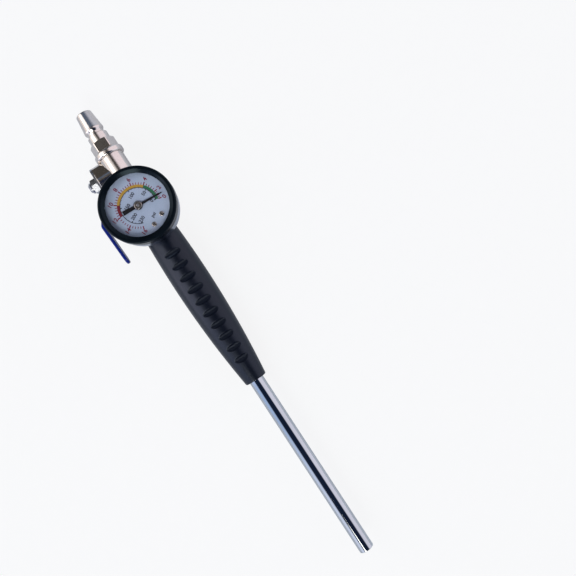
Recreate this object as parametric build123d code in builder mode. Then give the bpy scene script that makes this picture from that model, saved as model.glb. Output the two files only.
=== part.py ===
"""Tire inflator gauge: air plug, ball valve with a blue lever, dial gauge on a tee, grip and tube.

Millimetres. The origin is the centre of the delivery tube's mouth. +Y runs along the tube towards
the air plug, +Z points out of the dial, and the valve's lever is on the -X side.
"""
import os
from math import cos, hypot, radians, sin, sqrt

from build123d import *

os.makedirs("parts", exist_ok=True)

# Clearances shared by the fits
shaft_clearance = 0.05
seat_clearance = 0.05
part_gap = 0.3

# Delivery tube
tube_radius = 4.5
tube_wall = 1.25
tube_mouth_round = 0.5
tube_seat_depth = 5.0

# Grip
grip_start = 117.6
grip_peak = 188.0
grip_front_radius = 6.7
grip_max_radius = 11.05
grip_end_round = 0.9
dimple_count = 10
dimple_pitch = 8.06
dimple_depth = 1.25
dimple_half_width = 2.1
dimple_last = 205.2
dimple_rim_round = 0.4

# Tee block
block_side = 19.0
block_length = 28.0
block_chamfer = 1.0
block_passage_radius = 2.5

# Gauge place and connection thread
gauge_y = 234.4
dial_turn = 22.8
connection_radius = 4.85
connection_length = 7.0

# Ball valve
valve_body_radius = 7.5
valve_thread_length = 7.5
valve_length = 30.3
stem_from_mouth = 13.6
bead_radius = 9.0
bead_width = 4.2
bead_round = 1.3
ball_radius = 5.0
ball_bore_radius = 2.75
chamber_gap = 0.3
seat_width = 2.7
seat_lap = 0.6
seat_bore_radius = 2.9
mouth_thread_radius = 5.8
boss_radius = 6.0
boss_reach = 13.8
boss_ear_radius = 3.8
boss_ear_place = 6.2
boss_round = 0.4

# Valve stem and lever
stem_radius = 3.0
stem_shoulder_radius = 3.6
stem_shoulder_width = 1.4
stem_flats = 4.6
stem_thread_radius = 2.5
stem_end_length = 0.7
stem_end_chamfer = 0.4
tang_thickness = 2.0
tang_depth = 1.6
seal_section_radius = 0.46
seal_place = 10.5
seal_play = 0.02
lever_thickness = 1.1
lever_root_reach = 10.0
lever_root_width = 9.0
lever_tip_width = 6.4
lever_bend_start = 5.2
lever_rise_end = 23.5
lever_reach = 48.9
lever_offset = 11.65
lever_tip_offset = 10.75
lever_bend_radius = 3.0
sleeve_wall = 0.4
sleeve_start = 12.5
sleeve_round = 0.6
nut_flats = 8.0
nut_height = 5.2
nut_chamfer = 0.35
nut_collar_radius = 3.4
nut_collar_height = 1.6
nut_collar_chamfer = 0.5

# Air plug
plug_bore_radius = 2.5
plug_hex_flats = 14.0
plug_hex_width = 6.6
plug_hex_turned_radius = 7.9
plug_hex_chamfer = 0.5
plug_collar_radius = 6.2
plug_collar_width = 5.0
plug_collar_chamfer = 0.5
plug_groove_radius = 5.15
plug_groove_width = 1.6
plug_groove_flare = 0.3
plug_bulge_radius = 6.1
plug_bulge_place = 3.6
plug_bulge_half_width = 0.75
plug_bulge_fall = 0.12
plug_nose_length = 15.2
plug_tip_radius = 4.9
plug_tip_round = 0.8
plug_bore_chamfer = 0.5

# Gauge housing
case_radius = 20.8
case_wall = 0.8
case_back = 11.5
case_rim = 29.7
case_corner = 2.5
bezel_wall = 0.7
bezel_depth = 7.4
bezel_rise = 1.1
bezel_lip = 0.6
bezel_front_width = 0.9
bezel_edge_round = 1.0
bezel_cover = 3.9
gasket_width = 1.9
gasket_thickness = 0.4
window_thickness = 1.2

# Dial and pointer
dial_edge_gap = 0.4
dial_thickness = 0.5
dial_top = 28.6
dial_hole_radius = 1.6
dial_screw_inset = 2.0
dial_screw_spread = 15.0
dial_screw_head_radius = 1.45
dial_screw_head_height = 0.8
dial_screw_head_round = 0.55
dial_screw_slot = 0.5
dial_screw_slot_angle = 25.0
dial_screw_radius = 0.8
dial_screw_length = 4.0
pointer_rest_angle = -3.2
pointer_gap = 0.35
pointer_thickness = 0.25
pointer_tip_gap = 4.6
pointer_tip_taper = 0.6
pointer_tail_length = 9.4
pointer_root_width = 1.5
pointer_tip_width = 0.6
pointer_neck_width = 2.0
pointer_tail_width = 2.6
pointer_boss_radius = 2.6
pointer_hub_radius = 2.25
pointer_hub_height = 0.5
pointer_hub_round = 0.3
pointer_hub_chamfer = 0.25

# Gauge connection inside the case
socket_hex_flats = 14.0
socket_neck_radius = 5.0
socket_bore_radius = 1.5
air_drill_radius = 0.8
air_drill_angle = -91.0
socket_bar_width = 9.0
socket_bar_height = 5.2
socket_bar_end = 6.5
post_width = 10.0
post_inner_depth = 3.4
post_outer_depth = 2.3
case_screw_x = 3.2
case_screw_inset = 2.8
case_screw_radius = 1.25
case_screw_head_radius = 2.2
case_screw_head_height = 1.2
case_screw_head_round = 0.5
case_screw_slot = 0.7
case_screw_length = 7.0

# Bourdon tube
bourdon_case_gap = 3.3
bourdon_thickness = 2.2
bourdon_height = 5.6
bourdon_wall = 0.35
bourdon_floor_gap = 0.7
bourdon_root_angle = -77.0
bourdon_end_angle = 165.0
bourdon_seat_arc = 20.0
tip_length_angle = 7.0
lug_thickness = 1.1
lug_radius = 1.5
lug_neck_play = 0.1

# Movement
gear_module_share = 1 / 62.4
gear_root_depth = 1.2
gear_rim_depth = 6.0
pinion_teeth = 10
sector_teeth_full = 80
sector_teeth_before = 2
sector_teeth_after = 9
sector_pivot_angle = 133.0
sector_travel = 31.75
gear_thickness = 0.8
gear_rise = 0.9
spoke_tip_radius = 0.7
sector_hub_radius = 1.8
arbor_radius = 0.6
pinion_overlap = 0.2
movement_plate = 0.8
movement_height = 5.1
plate_ear_radius = 2.2
pillar_radius = 1.3
pillar_places = [(7.0, 3.5), (-7.5, -5.0), (6.5, -6.5)]
movement_screw_places = [(2.6, -6.0), (-2.6, -6.0)]
movement_screw_radius = 0.6
movement_screw_head_radius = 1.2
movement_screw_head_height = 0.6
movement_screw_slot = 0.35
movement_screw_length = 2.6
tail_length = 4.5
tail_eye_radius = 1.2
link_eye_radius = 1.1
link_pin_radius = 0.4
link_thickness = 0.5
link_head_height = 0.4
link_slot_radius = 0.8
spring_inner_radius = 1.5
spring_outer_radius = 5.2
spring_turns = 4
spring_thickness = 0.15
spring_height = 0.6
spring_collet_radius = 1.3
spring_rise = 3.6
spring_stud_radius = 0.5
spring_stud_play = 0.02

# Places worked out from the sizes
block_start = gauge_y - block_length / 2
block_end = gauge_y + block_length / 2
block_top = block_side / 2
grip_end = block_start
valve_start = block_end
valve_mouth = valve_start + valve_length
stem_y = valve_mouth - stem_from_mouth
chamber_radius = ball_radius + chamber_gap
seat_reach = sqrt((ball_radius + seat_clearance) ** 2 - seat_bore_radius**2)
seat_face = seat_reach - seat_lap
seat_back = seat_face + seat_width
stem_bore_radius = stem_radius + shaft_clearance
lever_inner_face = boss_reach + shaft_clearance
lever_outer_face = lever_inner_face + lever_thickness
stem_end = lever_outer_face + nut_height + stem_end_length
hex_end = valve_mouth + plug_hex_width
collar_end = hex_end + plug_collar_width
groove_end = collar_end + plug_groove_width
plug_end = collar_end + plug_nose_length
case_floor = case_back + case_wall
case_inner_radius = case_radius - case_wall
bezel_radius = case_radius + bezel_wall
view_radius = bezel_radius - bezel_cover
window_bottom = case_rim + gasket_thickness
window_top = window_bottom + window_thickness
bezel_front = window_top + bezel_lip + bezel_rise
bezel_bottom = bezel_front - bezel_depth
dial_bottom = dial_top - dial_thickness
dial_radius = case_inner_radius - dial_edge_gap
pointer_tip_length = dial_radius - pointer_tip_gap
pointer_bottom = dial_top + pointer_gap
pointer_top = pointer_bottom + pointer_thickness
bar_top = case_floor + socket_bar_height
plate_top = bar_top + movement_plate
gear_bottom = plate_top + gear_rise
gear_top = gear_bottom + gear_thickness
front_plate_bottom = plate_top + movement_height
front_plate_top = front_plate_bottom + movement_plate
bourdon_radius = case_inner_radius - bourdon_case_gap - bourdon_thickness / 2
post_inner = bourdon_radius - post_inner_depth
post_outer = bourdon_radius + post_outer_depth
dial_screw_circle = bourdon_radius - dial_screw_inset
case_screw_y = bourdon_radius - case_screw_inset
gear_module = bourdon_radius * gear_module_share
bourdon_bottom = case_floor + bourdon_floor_gap
bourdon_top = bourdon_bottom + bourdon_height
lug_bottom = bourdon_top + part_gap
lug_top = lug_bottom + lug_thickness
link_bottom = max(lug_top, gear_top) + part_gap
link_top = link_bottom + link_thickness
spring_bottom = plate_top + spring_rise

# Working planes and axes
main_section = Plane.YZ
gauge_axis = Axis((0, gauge_y, 0), (0, 0, 1))
gauge_section = Plane(origin=(0, gauge_y, 0), x_dir=(1, 0, 0), z_dir=(0, -1, 0))
gauge_plane = Plane(origin=(0, gauge_y, 0), x_dir=(1, 0, 0), z_dir=(0, 0, 1))
dial_direction = (cos(radians(dial_turn)), sin(radians(dial_turn)), 0)
dial_plane = Plane(origin=(0, gauge_y, 0), x_dir=dial_direction, z_dir=(0, 0, 1))
stem_axis = Axis((0, stem_y, 0), (-1, 0, 0))
stem_section = Plane(origin=(0, stem_y, 0), x_dir=(-1, 0, 0), z_dir=(0, 1, 0))
stem_plane = Plane(origin=(0, stem_y, 0), x_dir=(0, -1, 0), z_dir=(-1, 0, 0))


def polar(radius, angle):
    """Point at a radius and an angle in degrees."""
    return (radius * cos(radians(angle)), radius * sin(radians(angle)))


def shifted(point, other):
    """Sum of two plane points."""
    return (point[0] + other[0], point[1] + other[1])


# Delivery tube: drawn steel, chromed, with a rounded open mouth
with BuildPart() as delivery_tube:
    with BuildSketch(Plane.XZ.offset(-(block_start + tube_seat_depth))):
        Circle(tube_radius)
        Circle(tube_radius - tube_wall, mode=Mode.SUBTRACT)
    extrude(amount=block_start + tube_seat_depth)
    mouth = delivery_tube.faces().sort_by(Axis.Y)[0]
    fillet(mouth.edges(), tube_mouth_round)
delivery_tube.part.label = "delivery_tube"
export_step(delivery_tube.part, "parts/delivery_tube.step")


# Grip: one moulding, barrel shaped, with a row of cross dimples along its top
grip_taper = (grip_max_radius - grip_front_radius) / (grip_peak - grip_start) ** 2


def grip_radius(y):
    """Radius of the grip's barrel at a place along the tube."""
    return grip_max_radius - grip_taper * (y - grip_peak) ** 2


def is_dimple(face):
    """True for the round floor of a dimple, which lies above the tube."""
    return face.center().Z > tube_radius


grip_middle = (grip_start + grip_peak) / 2
dimple_cut_radius = (dimple_half_width**2 + dimple_depth**2) / (2 * dimple_depth)
with BuildPart() as grip:
    with BuildSketch(main_section):
        with BuildLine():
            barrel = Spline([(y, grip_radius(y)) for y in (grip_start, grip_middle, grip_peak, grip_end)])
            Polyline(barrel @ 1, (grip_end, tube_radius), (grip_start, tube_radius), barrel @ 0)
        make_face()
    revolve(axis=Axis.Y)
    end_edges = [grip.faces().sort_by(Axis.Y)[0].edges().sort_by(SortBy.LENGTH)[-1],
                 grip.faces().sort_by(Axis.Y)[-1].edges().sort_by(SortBy.LENGTH)[-1]]
    fillet(end_edges, grip_end_round)
    for index in range(dimple_count):
        place = dimple_last - index * dimple_pitch
        centre_height = grip_radius(place) - dimple_depth + dimple_cut_radius
        with BuildSketch(Plane.YZ):
            with Locations((place, centre_height)):
                Circle(dimple_cut_radius)
        extrude(amount=grip_max_radius, both=True, mode=Mode.SUBTRACT)
    fillet(grip.faces().filter_by(GeomType.CYLINDER).filter_by(is_dimple).edges(), dimple_rim_round)
grip.part.label = "grip"
export_step(grip.part, "parts/grip.step")


# Tee block: square brass bar, drilled through for the air and from the top for the gauge
with BuildPart() as tee_block:
    with BuildSketch(Plane.XZ.offset(-block_end)):
        Rectangle(block_side, block_side)
    extrude(amount=block_length)
    chamfer(tee_block.edges(), block_chamfer)
    with BuildSketch(Plane.XZ.offset(-block_end)):
        Circle(block_passage_radius)
    extrude(amount=block_length, mode=Mode.SUBTRACT)
    with BuildSketch(Plane.XZ.offset(-(block_start + tube_seat_depth))):
        Circle(tube_radius)
    extrude(amount=tube_seat_depth, mode=Mode.SUBTRACT)
    with BuildSketch(Plane.XZ.offset(-block_end)):
        Circle(connection_radius)
    extrude(amount=valve_thread_length, mode=Mode.SUBTRACT)
    with BuildSketch(gauge_plane.offset(block_top)):
        Circle(connection_radius)
    extrude(amount=-connection_length, mode=Mode.SUBTRACT)
    with BuildSketch(gauge_plane.offset(block_top)):
        Circle(socket_bore_radius)
    extrude(amount=-block_top, mode=Mode.SUBTRACT)
tee_block.part.label = "tee_block"
export_step(tee_block.part, "parts/tee_block.step")


# Valve body: turned round with a bead at the mouth and an eared side boss, bored in steps for
# the ball
with BuildPart() as valve_body:
    with BuildSketch(main_section):
        with BuildLine():
            Polyline((valve_start - valve_thread_length, 0),
                     (valve_start - valve_thread_length, connection_radius),
                     (valve_start, connection_radius),
                     (valve_start, valve_body_radius),
                     (valve_mouth - bead_width, valve_body_radius),
                     (valve_mouth - bead_width, bead_radius),
                     (valve_mouth, bead_radius),
                     (valve_mouth, 0),
                     close=True)
        make_face()
        fillet(vertices().group_by(Axis.Y)[-1], bead_round)
    revolve(axis=Axis.Y)
    with BuildSketch(stem_plane):
        Circle(boss_radius)
        with Locations((-boss_ear_place, 0), (boss_ear_place, 0)):
            Circle(boss_ear_radius)
        make_hull()
    extrude(amount=boss_reach)
    boss_rim = valve_body.faces().sort_by(Axis.X)[0].edges()
    fillet(boss_rim, boss_round)
    with BuildSketch(main_section):
        with BuildLine():
            Polyline((valve_start - valve_thread_length, 0),
                     (valve_start - valve_thread_length, ball_bore_radius),
                     (stem_y - seat_back, ball_bore_radius),
                     (stem_y - seat_back, chamber_radius),
                     (stem_y + seat_back, chamber_radius),
                     (stem_y + seat_back, mouth_thread_radius),
                     (valve_mouth, mouth_thread_radius),
                     (valve_mouth, 0),
                     close=True)
        make_face()
    revolve(axis=Axis.Y, mode=Mode.SUBTRACT)
    with BuildSketch(stem_plane):
        Circle(stem_bore_radius)
    extrude(amount=boss_reach, mode=Mode.SUBTRACT)
    with BuildSketch(stem_plane):
        Circle(stem_shoulder_radius + shaft_clearance)
    extrude(amount=chamber_radius + stem_shoulder_width + shaft_clearance, mode=Mode.SUBTRACT)
valve_body.part.label = "valve_body"
export_step(valve_body.part, "parts/valve_body.step")


# Valve seats: two plastic rings, hollowed to the ball
with BuildPart() as valve_seats:
    with BuildSketch(main_section):
        for side in (-1, 1):
            middle = stem_y + side * (seat_back + seat_face) / 2
            with Locations((middle, (chamber_radius + seat_bore_radius) / 2)):
                Rectangle(seat_width, chamber_radius - seat_bore_radius)
    revolve(axis=Axis.Y)
    with Locations((0, stem_y, 0)):
        Sphere(ball_radius + seat_clearance, mode=Mode.SUBTRACT)
valve_seats.part.label = "valve_seats"
export_step(valve_seats.part, "parts/valve_seats.step")


# Valve ball: bored through, with a slot for the stem's tang
with BuildPart() as valve_ball:
    with Locations((0, stem_y, 0)):
        Sphere(ball_radius)
    with BuildSketch(Plane.XZ.offset(-stem_y)):
        Circle(ball_bore_radius)
    extrude(amount=ball_radius, both=True, mode=Mode.SUBTRACT)
    with BuildSketch(stem_plane.offset(ball_radius - tang_depth)):
        Rectangle(tang_thickness + 2 * seat_clearance, 2 * ball_radius)
    extrude(amount=tang_depth, mode=Mode.SUBTRACT)
valve_ball.part.label = "valve_ball"
export_step(valve_ball.part, "parts/valve_ball.step")


# Valve stem: tang, shoulder, sealing groove, flats for the lever and a threaded end
stem_shoulder_start = chamber_radius + shaft_clearance
groove_radius = stem_bore_radius - 2 * seal_section_radius
with BuildPart() as valve_stem:
    with BuildSketch(stem_section):
        with BuildLine():
            Polyline((ball_radius - tang_depth + seat_clearance, 0),
                     (ball_radius - tang_depth + seat_clearance, stem_radius),
                     (stem_shoulder_start, stem_radius),
                     (stem_shoulder_start, stem_shoulder_radius),
                     (stem_shoulder_start + stem_shoulder_width - shaft_clearance, stem_shoulder_radius),
                     (stem_shoulder_start + stem_shoulder_width - shaft_clearance, stem_radius),
                     (seal_place - 2 * seal_section_radius, stem_radius),
                     (seal_place - 2 * seal_section_radius, groove_radius),
                     (seal_place + 2 * seal_section_radius, groove_radius),
                     (seal_place + 2 * seal_section_radius, stem_radius),
                     (lever_outer_face, stem_radius),
                     (lever_outer_face, stem_thread_radius),
                     (stem_end, stem_thread_radius),
                     (stem_end, 0),
                     close=True)
        make_face()
    revolve(axis=stem_axis)
    with BuildSketch(stem_plane.offset(ball_radius - tang_depth)):
        Rectangle(4 * stem_radius, 4 * stem_radius)
        Rectangle(tang_thickness, 4 * stem_radius, mode=Mode.SUBTRACT)
    extrude(amount=stem_shoulder_start - ball_radius + tang_depth, mode=Mode.SUBTRACT)
    with BuildSketch(stem_plane.offset(lever_inner_face)):
        Rectangle(4 * stem_radius, 4 * stem_radius)
        Rectangle(4 * stem_radius, stem_flats, mode=Mode.SUBTRACT)
    extrude(amount=lever_thickness, mode=Mode.SUBTRACT)
    chamfer(valve_stem.faces().sort_by(Axis.X)[0].edges(), stem_end_chamfer)
valve_stem.part.label = "valve_stem"
export_step(valve_stem.part, "parts/valve_stem.step")


# Stem seal: rubber ring in the stem's groove
with BuildPart() as stem_seal:
    with BuildSketch(stem_section):
        with Locations((seal_place, stem_bore_radius - seal_section_radius - seal_play)):
            Circle(seal_section_radius - seal_play)
    revolve(axis=stem_axis)
stem_seal.part.label = "stem_seal"
export_step(stem_seal.part, "parts/stem_seal.step")


# Lever plate: pressed strip, bent outwards past the gauge, with a round eye on the stem
lever_mid_face = lever_inner_face + lever_thickness / 2
lever_route = [(-lever_mid_face, stem_y + lever_root_reach + lever_thickness),
               (-lever_mid_face, stem_y - lever_bend_start),
               (-lever_mid_face - lever_offset, stem_y - lever_rise_end),
               (-lever_mid_face - lever_tip_offset, stem_y - lever_reach)]
lever_tip_radius = lever_tip_width / 2


def lever_line():
    """Middle line of the bent strip, running on past its tip, which the side view then cuts."""
    last_x, last_y = lever_route[-2]
    tip_x, tip_y = lever_route[-1]
    stretch = 1 + lever_tip_width / hypot(tip_x - last_x, tip_y - last_y)
    end_point = (last_x + (tip_x - last_x) * stretch, last_y + (tip_y - last_y) * stretch)
    with BuildLine() as route:
        FilletPolyline(*lever_route[:-1], end_point, radius=lever_bend_radius)
    return route.line


def lever_strip(margin):
    """Side view of the strip, tapered from its round root to its round tip, with a margin all round."""
    with BuildSketch() as strip:
        with Locations((lever_root_width / 2 - lever_root_reach, 0)):
            Circle(lever_root_width / 2 + margin)
        with Locations((lever_reach - lever_tip_radius, 0)):
            Circle(lever_tip_radius + margin)
        make_hull()
    return strip.sketch


with BuildPart() as lever_plate:
    with BuildSketch(Plane.XY):
        trace(lever_line(), line_width=lever_thickness)
    extrude(amount=lever_root_width, both=True)
    with BuildSketch(stem_plane):
        add(lever_strip(0))
    extrude(amount=2 * lever_reach, mode=Mode.INTERSECT)
    with BuildSketch(stem_plane):
        Circle(stem_radius)
        Rectangle(4 * stem_radius, stem_flats, mode=Mode.INTERSECT)
    extrude(amount=2 * boss_reach, mode=Mode.SUBTRACT)
lever_plate.part.label = "lever_plate"
export_step(lever_plate.part, "parts/lever_plate.step")


# Lever sleeve: blue vinyl dipped over the strip
sleeve_thickness = lever_thickness + 2 * sleeve_wall
with BuildPart() as lever_sleeve:
    with BuildSketch(Plane.XY):
        trace(lever_line(), line_width=sleeve_thickness)
    extrude(amount=lever_root_width, both=True)
    with BuildSketch(stem_plane):
        add(lever_strip(sleeve_wall))
        with Locations((sleeve_start - lever_reach, 0)):
            Rectangle(2 * lever_reach, 4 * lever_root_width, mode=Mode.SUBTRACT)
    extrude(amount=2 * lever_reach, mode=Mode.INTERSECT)
    outline = lever_sleeve.edges().filter_by(Axis.Z, reverse=True)
    start_edges = lever_sleeve.faces().sort_by(Axis.Y)[-1].edges()
    fillet(outline.filter_by(lambda edge: edge not in start_edges), sleeve_round)
    add(lever_plate.part, mode=Mode.SUBTRACT)
lever_sleeve.part.label = "lever_sleeve"
export_step(lever_sleeve.part, "parts/lever_sleeve.step")


# Lever nut: locking nut with a round collar
with BuildPart() as lever_nut:
    with BuildSketch(stem_plane.offset(lever_outer_face)):
        RegularPolygon(nut_flats / 2, 6, major_radius=False, rotation=30)
    extrude(amount=nut_height)
    with BuildSketch(stem_section):
        with BuildLine():
            corner_radius = nut_flats / sqrt(3)
            Polyline((lever_outer_face, 0),
                     (lever_outer_face, nut_flats / 2),
                     (lever_outer_face + nut_chamfer, corner_radius),
                     (lever_outer_face + nut_height - nut_collar_height - nut_chamfer, corner_radius),
                     (lever_outer_face + nut_height - nut_collar_height, nut_flats / 2),
                     (lever_outer_face + nut_height - nut_collar_height, nut_collar_radius),
                     (lever_outer_face + nut_height - nut_collar_chamfer, nut_collar_radius),
                     (lever_outer_face + nut_height, nut_collar_radius - nut_collar_chamfer),
                     (lever_outer_face + nut_height, 0),
                     close=True)
        make_face()
    revolve(axis=stem_axis, mode=Mode.INTERSECT)
    with BuildSketch(stem_plane.offset(lever_outer_face)):
        Circle(stem_thread_radius)
    extrude(amount=nut_height, mode=Mode.SUBTRACT)
lever_nut.part.label = "lever_nut"
export_step(lever_nut.part, "parts/lever_nut.step")


# Air plug: turned from hexagon bar, with a threaded shank, collar, latch groove and tapered nose
with BuildPart() as air_plug:
    with BuildSketch(Plane.XZ.offset(-hex_end)):
        RegularPolygon(plug_hex_flats / 2, 6, major_radius=False, rotation=0)
    extrude(amount=plug_hex_width)
    with BuildSketch(main_section):
        with BuildLine():
            Polyline((valve_mouth, 0),
                     (valve_mouth, plug_hex_flats / 2),
                     (valve_mouth + plug_hex_chamfer, plug_hex_turned_radius),
                     (hex_end - plug_hex_chamfer, plug_hex_turned_radius),
                     (hex_end, plug_hex_flats / 2),
                     (hex_end, 0),
                     close=True)
        make_face()
    revolve(axis=Axis.Y, mode=Mode.INTERSECT)
    bulge_y = groove_end + plug_bulge_place - plug_groove_width
    with BuildSketch(main_section):
        with BuildLine():
            Polyline((stem_y + seat_back, 0),
                     (stem_y + seat_back, mouth_thread_radius),
                     (valve_mouth, mouth_thread_radius),
                     (hex_end, mouth_thread_radius),
                     (hex_end, plug_collar_radius),
                     (collar_end - plug_collar_chamfer, plug_collar_radius),
                     (collar_end, plug_collar_radius - plug_collar_chamfer),
                     (collar_end + plug_groove_flare, plug_groove_radius),
                     (groove_end, plug_groove_radius))
            rise = Line((groove_end, plug_groove_radius),
                        (bulge_y - plug_bulge_half_width, plug_bulge_radius - plug_bulge_fall))
            crown = ThreePointArc(rise @ 1,
                                  (bulge_y, plug_bulge_radius),
                                  (bulge_y + plug_bulge_half_width, plug_bulge_radius - plug_bulge_fall))
            nose = Line(crown @ 1, (plug_end - plug_tip_round, plug_tip_radius))
            tip = RadiusArc(nose @ 1, (plug_end, plug_tip_radius - plug_tip_round), plug_tip_round)
            Polyline(tip @ 1, (plug_end, 0), (stem_y + seat_back, 0))
        make_face()
    revolve(axis=Axis.Y)
    with BuildSketch(Plane.XZ.offset(-plug_end)):
        Circle(plug_bore_radius)
    extrude(amount=plug_end - stem_y - seat_back, mode=Mode.SUBTRACT)
    bore_mouth = air_plug.faces().sort_by(Axis.Y)[-1].edges().sort_by(SortBy.LENGTH)[0]
    chamfer(bore_mouth, plug_bore_chamfer)
air_plug.part.label = "air_plug"
export_step(air_plug.part, "parts/air_plug.step")


# Gauge case: drawn cup with a round corner, holes for the connection and its screws
case_screws_at = [(-case_screw_x, -case_screw_y), (case_screw_x, -case_screw_y)]
with BuildPart() as gauge_case:
    with BuildSketch(gauge_section):
        with BuildLine():
            Polyline((socket_neck_radius, case_back),
                     (case_radius, case_back),
                     (case_radius, case_rim),
                     (case_radius - case_wall, case_rim),
                     (case_radius - case_wall, case_floor),
                     (socket_neck_radius, case_floor),
                     close=True)
        make_face()
        fillet(vertices().group_by(Axis.X)[-1].sort_by(Axis.Y)[0], case_corner)
        fillet(vertices().group_by(Axis.X)[-2].sort_by(Axis.Y)[0], case_corner - case_wall)
    revolve(axis=gauge_axis)
    with BuildSketch(dial_plane.offset(case_back)):
        with Locations(*case_screws_at):
            Circle(case_screw_radius)
    extrude(amount=case_wall, mode=Mode.SUBTRACT)
gauge_case.part.label = "gauge_case"
export_step(gauge_case.part, "parts/gauge_case.step")


# Bezel: black pressed ring, gripping the case's rim and sloping in to the window
bezel_slope_radius = bezel_radius - bezel_edge_round - bezel_front_width
with BuildPart() as gauge_bezel:
    with BuildSketch(gauge_section):
        with BuildLine():
            Polyline((case_radius, bezel_bottom),
                     (bezel_radius, bezel_bottom),
                     (bezel_radius, bezel_front),
                     (bezel_slope_radius, bezel_front),
                     (view_radius, window_top + bezel_lip),
                     (view_radius, window_top),
                     (case_radius, window_top),
                     close=True)
        make_face()
        fillet(vertices().group_by(Axis.X)[-1].sort_by(Axis.Y)[-1], bezel_edge_round)
    revolve(axis=gauge_axis)
gauge_bezel.part.label = "gauge_bezel"
export_step(gauge_bezel.part, "parts/gauge_bezel.step")


# Window: clear disc under the bezel's lip
with BuildPart() as gauge_window:
    with BuildSketch(gauge_plane.offset(window_bottom)):
        Circle(case_radius)
    extrude(amount=window_thickness)
gauge_window.part.label = "gauge_window"
export_step(gauge_window.part, "parts/gauge_window.step")


# Window gasket: flat rubber ring on the case's rim
with BuildPart() as window_gasket:
    with BuildSketch(gauge_plane.offset(case_rim)):
        Circle(case_radius)
        Circle(case_radius - gasket_width, mode=Mode.SUBTRACT)
    extrude(amount=gasket_thickness)
window_gasket.part.label = "window_gasket"
export_step(window_gasket.part, "parts/window_gasket.step")


# Dial plate: thin disc on the post, with a hole for the arbor and two for its screws
dial_screws_at = [polar(dial_screw_circle, -90 - dial_screw_spread),
                  polar(dial_screw_circle, -90 + dial_screw_spread)]
with BuildPart() as dial_plate:
    with BuildSketch(dial_plane.offset(dial_bottom)):
        Circle(dial_radius)
        Circle(dial_hole_radius, mode=Mode.SUBTRACT)
        with Locations(*dial_screws_at):
            Circle(dial_screw_radius, mode=Mode.SUBTRACT)
    extrude(amount=dial_thickness)
dial_plate.part.label = "dial_plate"
export_step(dial_plate.part, "parts/dial_plate.step")


# Dial screws: slotted round heads on the dial
with BuildPart() as dial_screws:
    with BuildSketch(dial_plane.offset(dial_top)):
        with Locations(*dial_screws_at):
            Circle(dial_screw_head_radius)
    extrude(amount=dial_screw_head_height)
    fillet(dial_screws.faces().group_by(Axis.Z)[-1].edges(), dial_screw_head_round)
    with BuildSketch(dial_plane.offset(dial_top)):
        with Locations(*dial_screws_at):
            Circle(dial_screw_radius)
    extrude(amount=-dial_screw_length)
    with BuildSketch(dial_plane.offset(dial_top + dial_screw_head_height)):
        with Locations(*dial_screws_at):
            Rectangle(dial_screw_slot, 3 * dial_screw_head_radius, rotation=dial_screw_slot_angle)
    extrude(amount=-dial_screw_head_height / 2, mode=Mode.SUBTRACT)
dial_screws.part.label = "dial_screws"
export_step(dial_screws.part, "parts/dial_screws.step")


# Pointer: black blade with a tail, on a round boss
pointer_direction = (cos(radians(pointer_rest_angle)), sin(radians(pointer_rest_angle)), 0)
pointer_plane = Plane(origin=(0, gauge_y, pointer_bottom), x_dir=pointer_direction, z_dir=(0, 0, 1))
with BuildPart() as pointer:
    with BuildSketch(pointer_plane):
        with BuildLine():
            Polyline((-pointer_tail_length, -pointer_tail_width / 2),
                     (-pointer_boss_radius, -pointer_neck_width / 2),
                     (pointer_boss_radius, -pointer_root_width / 2),
                     (pointer_tip_length - pointer_tip_taper, -pointer_tip_width / 2),
                     (pointer_tip_length, 0),
                     (pointer_tip_length - pointer_tip_taper, pointer_tip_width / 2),
                     (pointer_boss_radius, pointer_root_width / 2),
                     (-pointer_boss_radius, pointer_neck_width / 2),
                     (-pointer_tail_length, pointer_tail_width / 2),
                     close=True)
        make_face()
        Circle(pointer_boss_radius)
        Circle(arbor_radius, mode=Mode.SUBTRACT)
    extrude(amount=pointer_thickness)
pointer.part.label = "pointer"
export_step(pointer.part, "parts/pointer.step")


# Pointer hub: nickelled bush pressed on the arbor's end, which shows in its chamfered hole
with BuildPart() as pointer_hub:
    with BuildSketch(gauge_plane.offset(pointer_top)):
        Circle(pointer_hub_radius)
    extrude(amount=pointer_hub_height)
    fillet(pointer_hub.faces().sort_by(Axis.Z)[-1].edges(), pointer_hub_round)
    with BuildSketch(gauge_plane.offset(pointer_top)):
        Circle(arbor_radius)
    extrude(amount=pointer_hub_height, mode=Mode.SUBTRACT)
    hole_edge = pointer_hub.faces().sort_by(Axis.Z)[-1].edges().sort_by(SortBy.LENGTH)[0]
    chamfer(hole_edge, pointer_hub_chamfer)
pointer_hub.part.label = "pointer_hub"
export_step(pointer_hub.part, "parts/pointer_hub.step")


# Gauge socket: brass connection with its hexagon, the bar on the case's floor and the post
# that holds the pressure tube's root and carries the dial
bore_height = bourdon_bottom + bourdon_height / 2


def radial_section(angle):
    """Section plane through the gauge axis at an angle on the dial plane."""
    turn = radians(angle + dial_turn)
    return Plane(origin=(0, gauge_y, 0), x_dir=(cos(turn), sin(turn), 0), z_dir=(sin(turn), -cos(turn), 0))


def tube_section(wall):
    """Flat oval of the pressure tube, smaller by a wall on every side."""
    with BuildSketch() as oval:
        SlotOverall(bourdon_height - 2 * wall, bourdon_thickness - 2 * wall, rotation=90)
    return oval.sketch


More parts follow.
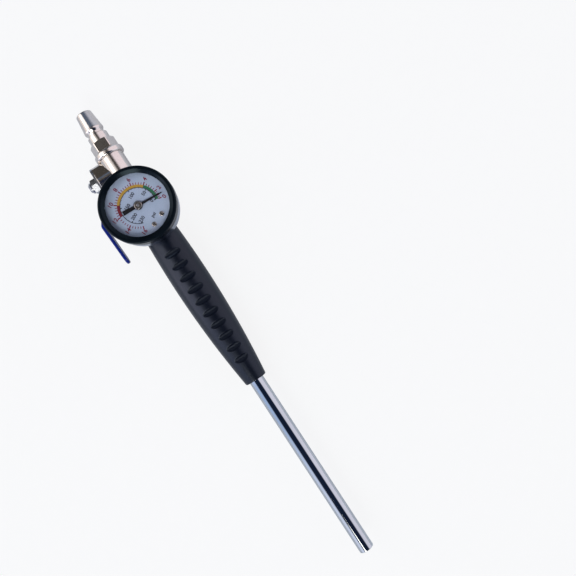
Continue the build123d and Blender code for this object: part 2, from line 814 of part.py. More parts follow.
with BuildPart() as gauge_socket:
    with BuildSketch(gauge_plane.offset(block_top)):
        Circle(connection_radius)
    extrude(amount=-connection_length)
    with BuildSketch(gauge_plane.offset(block_top)):
        RegularPolygon(socket_hex_flats / 2, 6, major_radius=False)
    extrude(amount=case_back - block_top)
    with BuildSketch(gauge_plane.offset(case_back)):
        Circle(socket_neck_radius)
    extrude(amount=case_wall)
    with BuildSketch(dial_plane.offset(case_floor)):
        with Locations((0, (socket_bar_end - post_inner) / 2)):
            Rectangle(socket_bar_width, socket_bar_end + post_inner)
    extrude(amount=socket_bar_height)
    with BuildSketch(dial_plane.offset(case_floor)):
        with Locations((0, -(post_inner + post_outer) / 2)):
            Rectangle(post_width, post_outer - post_inner)
    extrude(amount=dial_bottom - case_floor)
    with BuildSketch(dial_plane.offset(case_floor)):
        with Locations(*case_screws_at):
            Circle(case_screw_radius)
    extrude(amount=case_screw_length, mode=Mode.SUBTRACT)
    with BuildSketch(dial_plane.offset(dial_bottom)):
        with Locations(*dial_screws_at):
            Circle(dial_screw_radius)
    extrude(amount=-dial_screw_length, mode=Mode.SUBTRACT)
    with BuildSketch(dial_plane.offset(bar_top)):
        with Locations(*movement_screw_places):
            Circle(movement_screw_radius)
    extrude(amount=-movement_screw_length, mode=Mode.SUBTRACT)
    with BuildSketch(dial_plane.offset(bar_top)):
        Circle(arbor_radius + part_gap)
    extrude(amount=-part_gap, mode=Mode.SUBTRACT)
    with BuildSketch(gauge_plane.offset(block_top - connection_length)):
        Circle(socket_bore_radius)
    extrude(amount=bore_height - block_top + connection_length, mode=Mode.SUBTRACT)
    with BuildSketch(radial_section(bourdon_root_angle)):
        with Locations((bourdon_radius, bore_height)):
            add(tube_section(0))
    revolve(axis=gauge_axis, revolution_arc=bourdon_seat_arc, mode=Mode.SUBTRACT)
    with BuildSketch(radial_section(air_drill_angle)):
        with Locations((bourdon_radius, bore_height)):
            Circle(air_drill_radius)
    revolve(axis=gauge_axis, revolution_arc=bourdon_root_angle - air_drill_angle, mode=Mode.SUBTRACT)
    with BuildSketch(radial_section(air_drill_angle + 90)):
        with Locations((0, bore_height)):
            Circle(air_drill_radius)
    extrude(amount=bourdon_radius, mode=Mode.SUBTRACT)
gauge_socket.part.label = "gauge_socket"
export_step(gauge_socket.part, "parts/gauge_socket.step")


# Case screws: pan heads under the case's floor
with BuildPart() as case_screws:
    with BuildSketch(dial_plane.offset(case_back)):
        with Locations(*case_screws_at):
            Circle(case_screw_head_radius)
    extrude(amount=-case_screw_head_height)
    fillet(case_screws.faces().group_by(Axis.Z)[0].edges(), case_screw_head_round)
    with BuildSketch(dial_plane.offset(case_back)):
        with Locations(*case_screws_at):
            Circle(case_screw_radius)
    extrude(amount=case_screw_length)
    with BuildSketch(dial_plane.offset(case_back - case_screw_head_height)):
        with Locations(*case_screws_at):
            Rectangle(case_screw_slot, 3 * case_screw_head_radius)
    extrude(amount=case_screw_head_height / 2, mode=Mode.SUBTRACT)
case_screws.part.label = "case_screws"
export_step(case_screws.part, "parts/case_screws.step")


# Pressure tube: flattened brass tube bent to three quarters of a turn
with BuildPart() as bourdon_tube:
    with BuildSketch(radial_section(bourdon_root_angle)):
        with Locations((bourdon_radius, bore_height)):
            add(tube_section(0))
            add(tube_section(bourdon_wall), mode=Mode.SUBTRACT)
    revolve(axis=gauge_axis, revolution_arc=bourdon_end_angle - bourdon_root_angle)
bourdon_tube.part.label = "bourdon_tube"
export_step(bourdon_tube.part, "parts/bourdon_tube.step")


# Movement places on the dial plane: the sector's pivot, its tail pin and the pressure tube's tip
centre_distance = gear_module * (pinion_teeth + sector_teeth_full) / 2
sector_pivot = polar(centre_distance, sector_pivot_angle)
tail_angle = sector_pivot_angle + 90
tail_pin = shifted(sector_pivot, polar(tail_length, tail_angle))
tail_pin_moved = shifted(sector_pivot, polar(tail_length, tail_angle - sector_travel))
tube_pin = polar(bourdon_radius, bourdon_end_angle + tip_length_angle / 2)
tube_pin_moved = shifted(tube_pin, (tail_pin_moved[0] - tail_pin[0], tail_pin_moved[1] - tail_pin[1]))


def bar(start, end, start_radius, end_radius):
    """Flat bar with round ends about two points."""
    with BuildSketch() as shape:
        with Locations(start):
            Circle(start_radius)
        with Locations(end):
            Circle(end_radius)
        make_hull()
    return shape.sketch


def tooth(centre, teeth, angle, root_share, pitch_share, tip_share):
    """Outline points of one gear tooth, its widths given as shares of the pitch."""
    pitch_radius = gear_module * teeth / 2
    pitch_angle = 360 / teeth
    steps = [(pitch_radius - gear_root_depth * gear_module, -root_share),
             (pitch_radius, -pitch_share),
             (pitch_radius + gear_module, -tip_share),
             (pitch_radius + gear_module, tip_share),
             (pitch_radius, pitch_share),
             (pitch_radius - gear_root_depth * gear_module, root_share)]
    return [shifted(centre, polar(radius, angle + share * pitch_angle / 2)) for radius, share in steps]


# Tube tip: brazed end piece with a slotted lug for the link's pin
with BuildPart() as tube_tip:
    with BuildSketch(radial_section(bourdon_end_angle)):
        with Locations((bourdon_radius, bore_height)):
            add(tube_section(0))
    revolve(axis=gauge_axis, revolution_arc=tip_length_angle)
    with BuildSketch(dial_plane.offset(bore_height)):
        with Locations(tube_pin):
            Circle(bourdon_thickness / 2 - lug_neck_play)
    extrude(amount=lug_bottom - bore_height)
    with BuildSketch(dial_plane.offset(lug_bottom)):
        add(bar(tube_pin, tube_pin_moved, lug_radius, lug_radius))
    extrude(amount=lug_thickness)
    with BuildSketch(dial_plane.offset(lug_bottom)):
        add(bar(tube_pin, tube_pin_moved, link_slot_radius, link_slot_radius))
    extrude(amount=lug_thickness, mode=Mode.SUBTRACT)
tube_tip.part.label = "tube_tip"
export_step(tube_tip.part, "parts/tube_tip.step")


# Movement plates: two brass plates on three pillars, pierced for the pivots and screws
plate_ears = [sector_pivot, *pillar_places]
pivot_hole = arbor_radius + shaft_clearance
with BuildPart() as movement_back_plate:
    with BuildSketch(dial_plane.offset(bar_top)):
        with Locations(*plate_ears):
            Circle(plate_ear_radius)
        make_hull()
        with Locations((0, 0), sector_pivot):
            Circle(pivot_hole, mode=Mode.SUBTRACT)
        with Locations(*movement_screw_places, *pillar_places):
            Circle(movement_screw_radius, mode=Mode.SUBTRACT)
    extrude(amount=movement_plate)
movement_back_plate.part.label = "movement_back_plate"
export_step(movement_back_plate.part, "parts/movement_back_plate.step")

spring_stud = polar(spring_outer_radius + spring_thickness / 2 + spring_stud_radius + spring_stud_play, 0)
with BuildPart() as movement_front_plate:
    with BuildSketch(dial_plane.offset(front_plate_bottom)):
        with Locations(*plate_ears):
            Circle(plate_ear_radius)
        make_hull()
        with Locations((0, 0), sector_pivot):
            Circle(pivot_hole, mode=Mode.SUBTRACT)
        with Locations(*pillar_places):
            Circle(movement_screw_radius, mode=Mode.SUBTRACT)
    extrude(amount=movement_plate)
    with BuildSketch(dial_plane.offset(spring_bottom)):
        with Locations(spring_stud):
            Circle(spring_stud_radius)
    extrude(amount=front_plate_bottom - spring_bottom)
movement_front_plate.part.label = "movement_front_plate"
export_step(movement_front_plate.part, "parts/movement_front_plate.step")


# Movement pillars: turned posts, riveted into the back plate and tapped at the top
with BuildPart() as movement_pillars:
    with BuildSketch(dial_plane.offset(plate_top)):
        with Locations(*pillar_places):
            Circle(pillar_radius)
    extrude(amount=movement_height)
    with BuildSketch(dial_plane.offset(bar_top)):
        with Locations(*pillar_places):
            Circle(movement_screw_radius)
    extrude(amount=movement_plate)
    with BuildSketch(dial_plane.offset(front_plate_bottom)):
        with Locations(*pillar_places):
            Circle(movement_screw_radius)
    extrude(amount=-movement_screw_length, mode=Mode.SUBTRACT)
movement_pillars.part.label = "movement_pillars"
export_step(movement_pillars.part, "parts/movement_pillars.step")


# Movement screws: two into the bar, three into the pillars
with BuildPart() as movement_screws:
    for seat, places in ((plate_top, movement_screw_places), (front_plate_top, pillar_places)):
        with BuildSketch(dial_plane.offset(seat)):
            with Locations(*places):
                Circle(movement_screw_head_radius)
        extrude(amount=movement_screw_head_height)
        with BuildSketch(dial_plane.offset(seat)):
            with Locations(*places):
                Circle(movement_screw_radius)
        extrude(amount=-movement_screw_length)
        with BuildSketch(dial_plane.offset(seat + movement_screw_head_height)):
            with Locations(*places):
                Rectangle(movement_screw_slot, 3 * movement_screw_head_radius)
        extrude(amount=-movement_screw_head_height / 2, mode=Mode.SUBTRACT)
movement_screws.part.label = "movement_screws"
export_step(movement_screws.part, "parts/movement_screws.step")


# Sector gear: toothed rim on two spokes, with its pivots and the tail that the link pulls
contact_angle = sector_pivot_angle + 180
sector_pitch = 360 / sector_teeth_full
first_angle = contact_angle - sector_teeth_before * sector_pitch
last_angle = contact_angle + sector_teeth_after * sector_pitch
rim_radius = gear_module * (sector_teeth_full / 2 - gear_rim_depth)
spoke_radius = rim_radius + gear_module
with BuildPart() as sector_gear:
    with BuildSketch(dial_plane.offset(gear_bottom)):
        with BuildLine():
            outline = []
            for index in range(-sector_teeth_before, sector_teeth_after + 1):
                angle = contact_angle + index * sector_pitch
                outline += tooth(sector_pivot, sector_teeth_full, angle, 0.56, 0.45, 0.2)
            rim_start = shifted(sector_pivot, polar(rim_radius, first_angle - sector_pitch / 4))
            rim_middle = shifted(sector_pivot, polar(rim_radius, (first_angle + last_angle) / 2))
            rim_stop = shifted(sector_pivot, polar(rim_radius, last_angle + sector_pitch / 4))
            Polyline(rim_start, *outline, rim_stop)
            ThreePointArc(rim_stop, rim_middle, rim_start)
        make_face()
        for angle in (first_angle + sector_pitch, last_angle - sector_pitch):
            spoke_end = shifted(sector_pivot, polar(spoke_radius, angle))
            add(bar(sector_pivot, spoke_end, tail_eye_radius, spoke_tip_radius))
        add(bar(sector_pivot, tail_pin, sector_hub_radius, tail_eye_radius))
    extrude(amount=gear_thickness)
    with BuildSketch(dial_plane.offset(bar_top)):
        with Locations(sector_pivot):
            Circle(arbor_radius)
    extrude(amount=front_plate_top - bar_top)
    with BuildSketch(dial_plane.offset(gear_top)):
        with Locations(tail_pin):
            Circle(link_pin_radius)
    extrude(amount=link_top - gear_top + 2 * shaft_clearance)
    with BuildSketch(dial_plane.offset(link_top + 2 * shaft_clearance)):
        with Locations(tail_pin):
            Circle(2 * link_pin_radius)
    extrude(amount=link_head_height)
sector_gear.part.label = "sector_gear"
export_step(sector_gear.part, "parts/sector_gear.step")


# Pointer arbor: steel shaft with its pinion and the spring's collet
pinion_angle = 360 / pinion_teeth
with BuildPart() as pointer_arbor:
    with BuildSketch(dial_plane.offset(bar_top - part_gap / 2)):
        Circle(arbor_radius)
    extrude(amount=pointer_top + pointer_hub_height / 2 - bar_top + part_gap / 2)
    with BuildSketch(dial_plane.offset(gear_bottom - pinion_overlap)):
        with BuildLine():
            outline = []
            for index in range(pinion_teeth):
                angle = sector_pivot_angle + (index + 0.5) * pinion_angle
                outline += tooth((0, 0), pinion_teeth, angle, 0.42, 0.4, 0.18)
            Polyline(*outline, close=True)
        make_face()
    extrude(amount=gear_thickness + 2 * pinion_overlap)
    with BuildSketch(dial_plane.offset(spring_bottom)):
        Circle(spring_collet_radius)
    extrude(amount=spring_height)
pointer_arbor.part.label = "pointer_arbor"
export_step(pointer_arbor.part, "parts/pointer_arbor.step")


# Hairspring: flat bronze spiral between the collet and the front plate's stud
def spiral(offset):
    """Points of the spiral, moved out by an offset."""
    steps = 12 * spring_turns
    growth = (spring_outer_radius - spring_inner_radius) / steps
    return [polar(spring_inner_radius + growth * step + offset, 30 * step) for step in range(steps + 1)]


with BuildPart() as hairspring:
    with BuildSketch(dial_plane.offset(spring_bottom)):
        with BuildLine():
            inside = Spline(spiral(-spring_thickness / 2))
            outside = Spline(spiral(spring_thickness / 2))
            Line(inside @ 0, outside @ 0)
            Line(inside @ 1, outside @ 1)
        make_face()
    extrude(amount=spring_height)
hairspring.part.label = "hairspring"
export_step(hairspring.part, "parts/hairspring.step")


# Drive link: thin strip from the sector's tail to the pressure tube's lug
with BuildPart() as drive_link:
    with BuildSketch(dial_plane.offset(link_bottom)):
        add(bar(tail_pin, tube_pin, link_eye_radius, link_eye_radius))
        with Locations(tail_pin):
            Circle(link_pin_radius + shaft_clearance, mode=Mode.SUBTRACT)
    extrude(amount=link_thickness)
    with BuildSketch(dial_plane.offset(link_bottom)):
        with Locations(tube_pin):
            Circle(link_pin_radius)
    extrude(amount=lug_bottom + shaft_clearance - link_bottom)
drive_link.part.label = "drive_link"
export_step(drive_link.part, "parts/drive_link.step")
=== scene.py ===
from math import atan, cos, pi, radians, sin

import bmesh
import bpy
from mathutils import Matrix, Vector


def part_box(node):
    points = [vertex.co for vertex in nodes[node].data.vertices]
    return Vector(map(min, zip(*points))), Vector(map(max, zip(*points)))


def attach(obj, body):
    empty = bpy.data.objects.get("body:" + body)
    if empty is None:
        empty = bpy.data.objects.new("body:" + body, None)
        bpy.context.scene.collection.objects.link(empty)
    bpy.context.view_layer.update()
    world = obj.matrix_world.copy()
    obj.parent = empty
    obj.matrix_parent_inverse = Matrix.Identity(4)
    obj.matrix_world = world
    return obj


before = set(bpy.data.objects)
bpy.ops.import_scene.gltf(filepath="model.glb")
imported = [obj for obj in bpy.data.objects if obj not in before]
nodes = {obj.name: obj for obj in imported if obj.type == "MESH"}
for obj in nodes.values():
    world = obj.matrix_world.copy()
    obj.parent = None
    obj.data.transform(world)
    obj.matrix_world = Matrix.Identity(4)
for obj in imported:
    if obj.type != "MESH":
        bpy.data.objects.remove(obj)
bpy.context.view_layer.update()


# Camera: almost straight above, close by, with the tube running to the lower right as in the
# photograph. Its place, turn and view were fitted to the outlines of tube, grip, bezel and plug.
mm = 0.001
half_picture_px = 288
focal_length_px = 657.4
camera = bpy.data.objects.new("camera", bpy.data.cameras.new("camera"))
bpy.context.scene.collection.objects.link(camera)
camera.location = (27.74 * mm, 142.06 * mm, 388.9 * mm)
camera.rotation_euler = (radians(2.66), radians(-1.314), radians(-33.329))
camera.data.angle = 2 * atan(half_picture_px / focal_length_px)
camera.data.clip_start = 10 * mm
bpy.context.scene.camera = camera
bpy.context.scene.view_settings.view_transform = "Standard"


# Floor: a sheet of cool white paper under the tool. The camera and the window see it mostly lit by
# itself, so it is white and still takes the tool's shadow. Metal mirrors it with more of that
# shadow.
class Value:
    """A shader socket that takes part in plain arithmetic."""

    def __init__(self, tree, socket=None):
        self.tree = tree
        self.socket = socket

    def node(self, kind, settings=None, inputs=None, output=0):
        """New node of any kind: its settings first, then the values or links of its sockets."""
        made = self.tree.nodes.new(kind)
        for name, setting in (settings or {}).items():
            if name == "stops":
                ramp = made.color_ramp.elements
                while len(ramp) < len(setting):
                    ramp.new(1.0)
                for stop, (place, colour) in zip(ramp, setting):
                    stop.position = place
                    stop.color = (*colour, 1.0)
            else:
                setattr(made, name, setting)
        for name, value in (inputs or {}).items():
            if isinstance(value, Value):
                self.tree.links.new(value.socket, made.inputs[name])
            else:
                made.inputs[name].default_value = value
        return Value(self.tree, made.outputs[output] if made.outputs else None)

    def out(self, name):
        """Another output of the same node."""
        return Value(self.tree, self.socket.node.outputs[name])

    def maths(self, operation, first, second=0.0):
        """A Math node on two values or numbers."""
        return self.node("ShaderNodeMath", {"operation": operation}, {0: first, 1: second})

    def __add__(self, other):
        return self.maths("ADD", self, other)

    def __radd__(self, other):
        return self.maths("ADD", other, self)

    def __sub__(self, other):
        return self.maths("SUBTRACT", self, other)

    def __rsub__(self, other):
        return self.maths("SUBTRACT", other, self)

    def __mul__(self, other):
        return self.maths("MULTIPLY", self, other)

    def __rmul__(self, other):
        return self.maths("MULTIPLY", other, self)

    def __truediv__(self, other):
        return self.maths("DIVIDE", self, other)

    def __rtruediv__(self, other):
        return self.maths("DIVIDE", other, self)


def new_finish(name):
    """An empty material and the Value that its nodes start from."""
    finish = bpy.data.materials.new(name)
    finish.use_nodes = True
    finish.node_tree.nodes.clear()
    return finish, Value(finish.node_tree)


def close_finish(start, surface):
    """Joins the last shader to the material's output."""
    start.node("ShaderNodeOutputMaterial", None, {"Surface": surface})


def step_up(value, low, high):
    """Smooth step from nothing to one between two values."""
    return value.node("ShaderNodeMapRange", {"interpolation_type": "SMOOTHSTEP"},
                      {"Value": value, "From Min": low, "From Max": high})


def blend_colours(share, first, second):
    """Colour between two by a share."""
    return share.node("ShaderNodeMix", {"data_type": "RGBA"}, {0: share, 6: first, 7: second}, 2)


own_white = 0.87
own_white_in_metal = 0.2
paper, make = new_finish("paper")
ray = make.node("ShaderNodeLightPath")
seen = (ray.out("Is Camera Ray") + ray.out("Is Transmission Ray")) * own_white
seen = seen + ray.out("Is Glossy Ray") * own_white_in_metal
fibre = make.node("ShaderNodeTexNoise", None, {"Scale": 900.0, "Detail": 3.0})
paper_tones = [(0.3, (0.68, 0.76, 0.86)), (0.7, (0.72, 0.80, 0.90))]
white = make.node("ShaderNodeValToRGB", {"stops": paper_tones}, {"Fac": fibre}, "Color")
lit = make.node("ShaderNodeBsdfDiffuse", None, {"Color": white})
own = make.node("ShaderNodeEmission", None, {"Color": (1, 1, 1, 1), "Strength": 1.0})
close_finish(make, make.node("ShaderNodeMixShader", None, {0: seen, 1: lit, 2: own}))

floor_height = -11.2 * mm
sheet = bmesh.new()
bmesh.ops.create_grid(sheet, x_segments=2, y_segments=2, size=3.0,
                      matrix=Matrix.Translation((0, 0.15, floor_height)))
floor = bpy.data.objects.new("floor", bpy.data.meshes.new("floor"))
sheet.to_mesh(floor.data)
sheet.free()
floor.data.materials.append(paper)
bpy.context.scene.collection.objects.link(floor)


# Light: a white tent with a long dark gap above, where the camera looks in, and two large soft
# lamps. The gap's soft edges are what the round metal shows as dark stripes. Its width, the tent's
# two sides and its own darkness change along the tool, from the tube's mouth to the plug's nose.
world = bpy.data.worlds.new("tent")
bpy.context.scene.world = world
world.use_nodes = True
world.node_tree.nodes.clear()
make = Value(world.node_tree)
aim = make.node("ShaderNodeTexCoord", None, None, "Generated")
across = make.node("ShaderNodeSeparateXYZ", None, {0: aim}, "X")
along = across.out("Y")

half_gap_least = 0.24
half_gap_most = 0.62
half_gap = across.maths("MAXIMUM", 0.5 - along * 0.8, half_gap_least)
half_gap = across.maths("MINIMUM", half_gap, half_gap_most)
wider_over_nose = 0.3
half_gap = half_gap + wider_over_nose * step_up(along, 0.40, 0.46)
softness = 0.18 + 0.3 * step_up(along, 0.2, 0.3)
middle = 0.165 * step_up(along, 0.2, 0.28) - 0.13 * step_up(along, 0.32, 0.36) - 0.085
from_middle = across.maths("ABSOLUTE", across - middle)
gap = 1 - step_up(from_middle / half_gap, 1 - softness, 1 + softness)

left_by_mouth = (1.0, 1.05, 1.25, 1)
left_by_grip = (0.55, 0.70, 1.0, 1)
left_by_gauge = (3.2, 2.9, 3.2, 1)
left_by_plug = (1.1, 1.05, 1.05, 1)
left_low = blend_colours(step_up(along, -0.32, -0.1), left_by_mouth, left_by_grip)
left_end = blend_colours(step_up(along, 0.1, 0.25), left_by_gauge, left_by_plug)
left_wall = blend_colours(step_up(along, -0.08, 0.06), left_low, left_end)

right_by_tube = (1.02, 0.98, 1.10, 1)
right_by_gauge = (1.08, 0.97, 1.05, 1)
right_by_nose = (0.62, 0.66, 0.78, 1)
right_end = blend_colours(step_up(along, 0.36, 0.46), right_by_gauge, right_by_nose)
right_wall = blend_colours(step_up(along, -0.1, 0.1), right_by_tube, right_end)
wall = blend_colours(step_up(across, -0.15, 0.15), left_wall, right_wall)

gap_by_grip = (0.010, 0.018, 0.045, 1)
gap_by_valve = (0.07, 0.065, 0.06, 1)
gap_by_nose = (0.12, 0.16, 0.24, 1)
gap_end = blend_colours(step_up(along, 0.42, 0.5), gap_by_valve, gap_by_nose)
gap_end = blend_colours(step_up(along, 0.6, 0.75), gap_end, gap_by_valve)
gap_colour = blend_colours(step_up(along, -0.05, 0.25), gap_by_grip, gap_end)

tent = blend_colours(gap, wall, gap_colour)
ray = make.node("ShaderNodeLightPath")
tent = blend_colours(ray.out("Is Camera Ray"), tent, (0.93, 0.93, 0.93, 1))
shade = make.node("ShaderNodeBackground", None, {"Color": tent, "Strength": 1.0})
make.node("ShaderNodeOutputWorld", None, {"Surface": shade})


def side_lamp(name, place, aim_at, watts, colour):
    """A large square lamp turned to a point on the tool."""
    lamp = bpy.data.lights.new(name, "AREA")
    lamp.shape = "SQUARE"
    lamp.size = 1.2
    lamp.energy = watts
    lamp.color = colour
    stand = bpy.data.objects.new(name, lamp)
    bpy.context.scene.collection.objects.link(stand)
    stand.location = place
    stand.rotation_euler = (Vector(aim_at) - Vector(place)).to_track_quat("-Z", "Y").to_euler()


side_lamp("left_lamp", (-1.3, 1.3, 1.3), (0, 0.2, 0), 6.5, (1.0, 0.97, 0.92))
side_lamp("low_lamp", (-1.1, -1.5, 1.9), (0, 0.1, 0), 30.0, (1.0, 0.97, 0.9))


def dress(finish, *names):
    """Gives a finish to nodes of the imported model."""
    for name in names:
        for place in nodes[name].material_slots:
            place.material = finish


def turned_metal(name, colours, roughness, ring_pitch=0.6, ring_depth=0.006, cloud_scale=60.0,
                 axis="Y"):
    """Bright metal with lathe rings about an axis and faint cloudy handling marks."""
    finish, make = new_finish(name)
    place = make.node("ShaderNodeTexCoord", None, None, "Object")
    cloud = make.node("ShaderNodeTexNoise", None,
                      {"Vector": place, "Scale": cloud_scale, "Detail": 4.0})
    tones = [(0.35, colours[0]), (0.65, colours[1])]
    tone = make.node("ShaderNodeValToRGB", {"stops": tones}, {"Fac": cloud}, "Color")
    ring_scale = 2 * pi / 20 / (ring_pitch * mm)
    ring = make.node("ShaderNodeTexWave", {"bands_direction": axis},
                     {"Vector": place, "Scale": ring_scale, "Distortion": 0.6, "Detail": 2.0})
    lathe = make.node("ShaderNodeBump", None,
                      {"Strength": 0.25, "Distance": ring_depth * mm, "Height": ring})
    rough = roughness[0] + cloud * (roughness[1] - roughness[0])
    metal = {"Base Color": tone, "Metallic": 1.0, "Roughness": rough, "Normal": lathe}
    close_finish(make, make.node("ShaderNodeBsdfPrincipled", None, metal))
    return finish


nickel = turned_metal("nickel plating", ((0.66, 0.61, 0.57), (0.74, 0.70, 0.66)), (0.10, 0.20))
dress(nickel, "air_plug", "valve_body", "tee_block", "pointer_hub", "dial_screws")


# Delivery tube: drawn steel tube with chrome plating, straight, and open at its rounded mouth. It
# runs through the grip and sits in the tee block. The valve's ball is chromed too.
chrome = turned_metal("chrome plating", ((0.52, 0.55, 0.58), (0.58, 0.61, 0.64)), (0.03, 0.10),
                      ring_pitch=10.7, ring_depth=0.004, cloud_scale=25.0)
dress(chrome, "delivery_tube", "valve_ball")


# Steel pieces: the valve's stem, the pressed lever strip and its nut, the screws of the case and
# movement, and the pointer's arbor. They are turned or stamped and then zinc plated.
zinc = turned_metal("zinc plating", ((0.42, 0.44, 0.48), (0.58, 0.59, 0.62)), (0.18, 0.42),
                    ring_pitch=0.9, cloud_scale=160.0, axis="X")
dress(zinc, "valve_stem", "lever_plate", "lever_nut", "case_screws", "movement_screws",
      "pointer_arbor")


# Brass and bronze pieces of the gauge: machined brass socket, plates, pillars, sector and link,
# with a drawn bronze pressure tube brazed to the socket, and a bronze hairspring.
brass = turned_metal("machined brass", ((0.62, 0.43, 0.16), (0.75, 0.55, 0.24)), (0.2, 0.4),
                     ring_pitch=0.5, ring_depth=0.005, cloud_scale=200.0, axis="Z")
dress(brass, "gauge_socket", "movement_back_plate", "movement_front_plate", "movement_pillars",
      "sector_gear", "drive_link", "tube_tip")
bronze = turned_metal("drawn bronze", ((0.55, 0.31, 0.14), (0.68, 0.42, 0.21)), (0.22, 0.4),
                      ring_pitch=1.2, cloud_scale=120.0, axis="Z")
dress(bronze, "bourdon_tube", "hairspring")


# Gauge case: a round cup drawn from bright steel sheet. It stands on the socket's hexagon, held by
# two screws from below.
bright_steel = turned_metal("bright steel", ((0.32, 0.38, 0.47), (0.39, 0.45, 0.54)), (0.08, 0.22),
                            ring_pitch=1.6, ring_depth=0.003, cloud_scale=30.0, axis="Z")
dress(bright_steel, "gauge_case")


# Grip, seals and seats: the grip is moulded black plastic with a fine dull grain, pushed over the
# tube. The window's gasket and the stem's seal are nitrile rubber, and the ball's seats are white
# fluoroplastic.
def moulded(name, colours, roughness, grain=2600.0, grain_depth=0.02, cloud_scale=45.0, shine=0.5,
            tint=(1, 1, 1)):
    """Plastic or paint with a fine grain in its surface and slightly worn patches."""
    finish, make = new_finish(name)
    place = make.node("ShaderNodeTexCoord", None, None, "Object")
    cloud = make.node("ShaderNodeTexNoise", None,
                      {"Vector": place, "Scale": cloud_scale, "Detail": 5.0})
    tones = [(0.3, colours[0]), (0.7, colours[1])]
    tone = make.node("ShaderNodeValToRGB", {"stops": tones}, {"Fac": cloud}, "Color")
    fine = make.node("ShaderNodeTexNoise", None, {"Vector": place, "Scale": grain, "Detail": 2.0})
    skin = make.node("ShaderNodeBump", None,
                     {"Strength": 0.5, "Distance": grain_depth * mm, "Height": fine})
    rough = roughness[0] + cloud * (roughness[1] - roughness[0])
    surface = {"Base Color": tone, "Roughness": rough, "Normal": skin,
               "Specular IOR Level": shine, "Specular Tint": (*tint, 1)}
    close_finish(make, make.node("ShaderNodeBsdfPrincipled", None, surface))
    return finish


grip_plastic = moulded("grip plastic", ((0.0015, 0.003, 0.009), (0.003, 0.005, 0.012)),
                       (0.28, 0.40), shine=0.45, tint=(0.72, 0.83, 1))
dress(grip_plastic, "grip")
rubber = moulded("nitrile rubber", ((0.02, 0.02, 0.02), (0.035, 0.035, 0.035)), (0.5, 0.8))
dress(rubber, "window_gasket", "stem_seal")
seat_plastic = moulded("seat plastic", ((0.80, 0.80, 0.78), (0.88, 0.88, 0.86)), (0.3, 0.5))
dress(seat_plastic, "valve_seats")


# Lever sleeve: blue vinyl, glossy and a little uneven. The steel strip was dipped in it while warm,
# and it set around the strip.
blue_vinyl = moulded("blue vinyl", ((0.0, 0.012, 0.19), (0.001, 0.020, 0.26)), (0.22, 0.4),
                     grain=900.0, grain_depth=0.03, shine=0.3)
dress(blue_vinyl, "lever_sleeve")


# Bezel: pressed steel ring with black gloss paint. It grips the window and the gasket on the
# case's rim.
black_paint = moulded("black paint", ((0.002, 0.004, 0.007), (0.004, 0.007, 0.011)), (0.18, 0.28),
                      grain=1500.0, grain_depth=0.006, cloud_scale=60.0, shine=0.15,
                      tint=(0.6, 0.85, 1))
dress(black_paint, "gauge_bezel")


# Dial plate: thin metal disc with a pale, slightly blue printed ground. Two small screws hold it
# to the socket's post.
dial_ground = moulded("dial ground", ((0.335, 0.415, 0.55), (0.37, 0.445, 0.58)), (0.45, 0.6),
                      grain=3000.0, grain_depth=0.004, cloud_scale=90.0)
dress(dial_ground, "dial_plate")


# Dial print: two scales laid on the dial plate as thin ink. The outer, crimson one is in bar with a
# green, yellow and red band inside it, and the black one is in pounds to the square inch. Lengths
# are in millimetres, and angles in degrees from the photograph's right.
gauge_middle = Vector((0, 234.4, 0)) * mm
ink_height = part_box("dial_plate")[1].z + 0.03 * mm
page_turn = radians(-33.0)
type_turn = 58.0
band_inner = 10.2
band_outer = 11.65


def on_dial(radius, angle):
    """Place on the dial at an angle of the photograph."""
    turn = radians(angle) + page_turn
    from_middle = Vector((radius * cos(turn), radius * sin(turn), 0)) * mm
    return gauge_middle + from_middle + Vector((0, 0, ink_height))


def ink(name, colour):
    """Printing ink with a slight unevenness."""
    thin = tuple(0.85 * part for part in colour)
    return moulded(name, (thin, colour), (0.4, 0.6), grain=4000.0, grain_depth=0.003,
                   cloud_scale=300.0)


def lay_arc(print_mesh, inner, outer, start, stop):
    """Arc of ink between two radii and two angles."""
    step_degrees = 3
    first = [print_mesh.verts.new(on_dial(radius, start)) for radius in (inner, outer)]
    edge = print_mesh.edges.new(first)
    bmesh.ops.spin(print_mesh, geom=[edge, *first], cent=gauge_middle, axis=(0, 0, 1),
                   angle=radians(stop - start), steps=max(2, int((stop - start) / step_degrees)),
                   use_merge=False)


def lay_tick(print_mesh, inner, outer, angle, width):
    """Straight stroke of ink along a radius."""
    place = Matrix.Translation(on_dial((inner + outer) / 2, angle))
    turn = Matrix.Rotation(radians(angle) + page_turn, 4, "Z")
    shape = Matrix.Diagonal(((outer - inner) * mm, width * mm, 1, 1))
    bmesh.ops.create_grid(print_mesh, x_segments=1, y_segments=1, size=0.5,
                          matrix=place @ turn @ shape)


def lay_word(print_mesh, word, radius, angle, size):
    """A number or word set in type, centred on a place and standing as in the photograph."""
    setting = bpy.data.curves.new("type", "FONT")
    setting.body = word
    setting.size = size * mm
    setting.align_x = "CENTER"
    setting.align_y = "CENTER"
    setting.resolution_u = 3
    setting.offset = 0.03 * size * mm
    block = bpy.data.objects.new("type", setting)
    bpy.context.scene.collection.objects.link(block)
    bpy.context.view_layer.update()
    letters = bpy.data.meshes.new_from_object(block)
    turn = Matrix.Rotation(radians(type_turn) + page_turn, 4, "Z")
    letters.transform(Matrix.Translation(on_dial(radius, angle)) @ turn)
    print_mesh.from_mesh(letters)
    bpy.data.objects.remove(block)
    bpy.data.meshes.remove(letters)


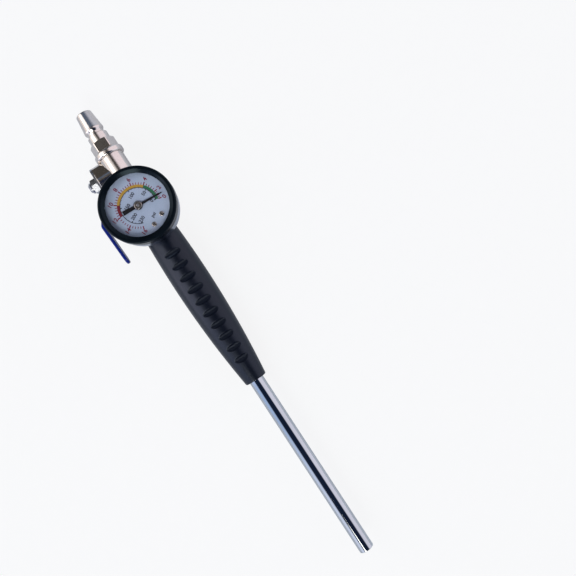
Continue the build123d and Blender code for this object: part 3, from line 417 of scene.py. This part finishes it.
def place_piece(name, mesh, finish, body):
    """Makes the finished mesh a piece of the tool."""
    bmesh.ops.remove_doubles(mesh, verts=mesh.verts, dist=0.001 * mm)
    bmesh.ops.recalc_face_normals(mesh, faces=mesh.faces)
    piece = bpy.data.objects.new(name, bpy.data.meshes.new(name))
    mesh.to_mesh(piece.data)
    mesh.free()
    piece.data.materials.append(finish)
    bpy.context.scene.collection.objects.link(piece)
    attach(piece, body)


def bar_angle(pressure):
    """Angle of the photograph for a pressure in bar, closer together below two."""
    if pressure < 2:
        return 19.7 + pressure * 11.0
    return 41.7 + (pressure - 2) * 17.3


bar_per_tick = 0.4
bar_ticks = 41
ticks_to_long = 5
bar_print = bmesh.new()
for step in range(bar_ticks):
    long = step % ticks_to_long == 0
    end, width = (13.5, 0.65) if long else (12.9, 0.42)
    lay_tick(bar_print, band_outer, end, bar_angle(step * bar_per_tick), width)
for number in range(0, 17, 2):
    lay_word(bar_print, str(number), 15.1, bar_angle(number), 3.3)
place_piece("bar_scale", bar_print, ink("crimson ink", (0.2, 0.003, 0.03)), "body")

for name, start, stop, colour in (("green_band", 0, 4, (0.012, 0.15, 0.06)),
                                  ("yellow_band", 4, 10, (0.46, 0.27, 0.03)),
                                  ("red_band", 10, 12, (0.16, 0.0, 0.012))):
    band = bmesh.new()
    lay_arc(band, band_inner, band_outer, bar_angle(start), bar_angle(stop))
    place_piece(name, band, ink(name.replace("_", " ") + " ink", colour), "body")

psi_angles = [(0, 19.9), (50, 65.8), (100, 124.7), (150, 189.5), (200, 250.7), (230, 284.9)]
psi_number_radii = (7.9, 7.4, 6.5, 6.0, 6.5, 7.9)
psi_per_tick = 10
psi_line = 0.4
type_size = 2.7
psi_print = bmesh.new()
lay_arc(psi_print, band_inner - psi_line, band_inner, psi_angles[0][1], psi_angles[-1][1])
for (low, low_angle), (high, high_angle) in zip(psi_angles, psi_angles[1:]):
    count = (high - low) // psi_per_tick
    scale_ends = high == psi_angles[-1][0]
    for step in range(count + scale_ends):
        angle = low_angle + (high_angle - low_angle) * step / count
        start, width = (9.1, 0.55) if step in (0, count) else (9.5, 0.35)
        lay_tick(psi_print, start, band_inner, angle, width)
for (number, angle), radius in zip(psi_angles, psi_number_radii):
    lay_word(psi_print, str(number), radius, angle, type_size)
lay_word(psi_print, "psi", 9.8, -31.3, type_size)
place_piece("psi_scale", psi_print, ink("black ink", (0.012, 0.014, 0.03)), "body")


# Pointer: stamped sheet, painted matt black, with a counterweight tail. It is pressed on the
# arbor under its nickelled cap.
matt_black = moulded("matt black paint", ((0.003, 0.003, 0.006), (0.006, 0.006, 0.009)),
                     (0.35, 0.5), grain=2500.0, grain_depth=0.004, shine=0.25)
dress(matt_black, "pointer")


# Window: clear glass disc, faintly smeared by handling, gripped by the bezel. Lamps shine through
# it on the dial.
glass, make = new_finish("window glass")
ray = make.node("ShaderNodeLightPath")
place = make.node("ShaderNodeTexCoord", None, None, "Object")
smear = make.node("ShaderNodeTexNoise", None, {"Vector": place, "Scale": 80.0, "Detail": 3.0})
clear_colour = (0.97, 0.98, 1.0, 1.0)
clear = make.node("ShaderNodeBsdfPrincipled", None,
                  {"Base Color": clear_colour, "Transmission Weight": 1.0, "IOR": 1.45,
                   "Roughness": smear * 0.03})
through = make.node("ShaderNodeBsdfTransparent", None, {"Color": clear_colour})
lamp_passes = ray.out("Is Shadow Ray")
close_finish(make, make.node("ShaderNodeMixShader", None, {0: lamp_passes, 1: clear, 2: through}))
dress(glass, "gauge_window")
